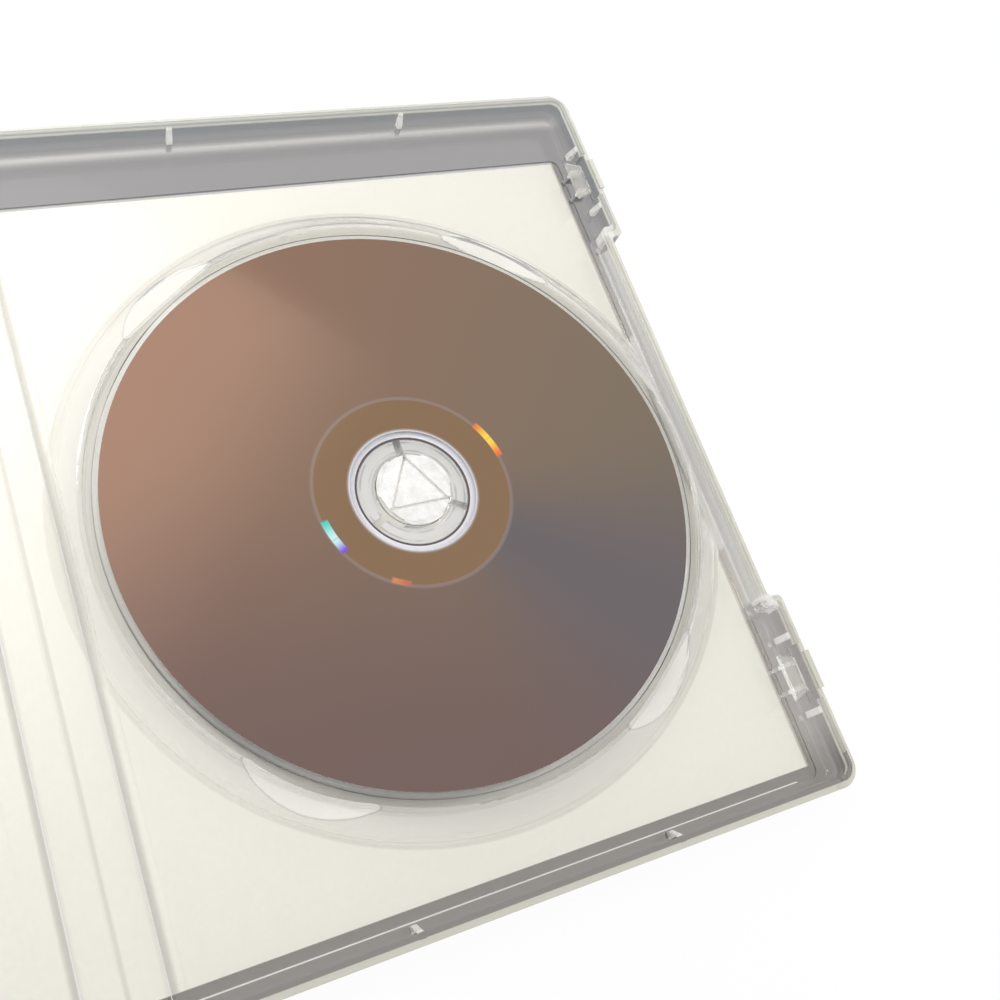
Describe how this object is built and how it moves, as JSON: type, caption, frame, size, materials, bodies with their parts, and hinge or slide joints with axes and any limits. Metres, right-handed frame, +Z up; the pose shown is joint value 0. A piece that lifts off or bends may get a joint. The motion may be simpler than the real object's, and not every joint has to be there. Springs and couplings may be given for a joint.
{
  "type": "game disc case",
  "caption": "Clear hinged keep case lying open, with spine and front cover, snap catches, a paper insert under clear film, and a push-release hub that holds a game disc.",
  "frame": {"origin": "middle of the spine on the surface the open case lies on", "axes": "+X from the spine across the disc tray to its opening edge, +Y along the spine to the case's top, +Z up"},
  "size_m": [0.2816, 0.171, 0.0091],
  "materials": {
    "clear_shell": "clear moulded polypropylene, glossy",
    "disc": "metallised polycarbonate, mirror gloss",
    "paper": "plain white coated paper",
    "film": "thin clear film"
  },
  "bodies": {
    "tray": {"tray_shell": "clear_shell", "disc": "disc", "insert_back": "paper", "sleeve_back": "film"},
    "spine": {"spine_panel": "clear_shell", "insert_spine": "paper", "sleeve_spine": "film"},
    "cover": {"front_cover": "clear_shell", "insert_front": "paper", "sleeve_front": "film"},
    "button": {"hub_button": "clear_shell"},
    "petal_1": {"hub_petal_1": "clear_shell"},
    "petal_2": {"hub_petal_2": "clear_shell"},
    "petal_3": {"hub_petal_3": "clear_shell"}
  },
  "joints": [
    {"name": "spine_hinge", "type": "hinge", "parent": "tray", "child": "spine", "pos_m": [0.0065, 0, 0.00075], "axis": [0, 1, 0], "range_deg": [0, 90]},
    {"name": "cover_hinge", "type": "hinge", "parent": "spine", "child": "cover", "pos_m": [-0.0065, 0, 0.00075], "axis": [0, 1, 0], "range_deg": [0, 90]},
    {"name": "hub_press", "type": "slide", "parent": "tray", "child": "button", "axis": [0, 0, -1], "range_m": [0, 0.001], "stiffness_N_per_m": 1000},
    {"name": "petal_1_lean", "type": "hinge", "parent": "tray", "child": "petal_1", "pos_m": [0.07215, -0.01185, 0.0019], "axis": [-1, 0, 0], "range_deg": [0, 5]},
    {"name": "petal_2_lean", "type": "hinge", "parent": "tray", "child": "petal_2", "pos_m": [0.078, -0.00172, 0.0019], "axis": [0.5, -0.866, 0], "range_deg": [0, 5]},
    {"name": "petal_3_lean", "type": "hinge", "parent": "tray", "child": "petal_3", "pos_m": [0.0663, -0.00172, 0.0019], "axis": [0.5, 0.866, 0], "range_deg": [0, 5]}
  ],
  "couplings": [
    {"joint": "petal_1_lean", "follows": "hub_press", "rad_per_m": 87},
    {"joint": "petal_2_lean", "follows": "hub_press", "rad_per_m": 87},
    {"joint": "petal_3_lean", "follows": "hub_press", "rad_per_m": 87}
  ]
}
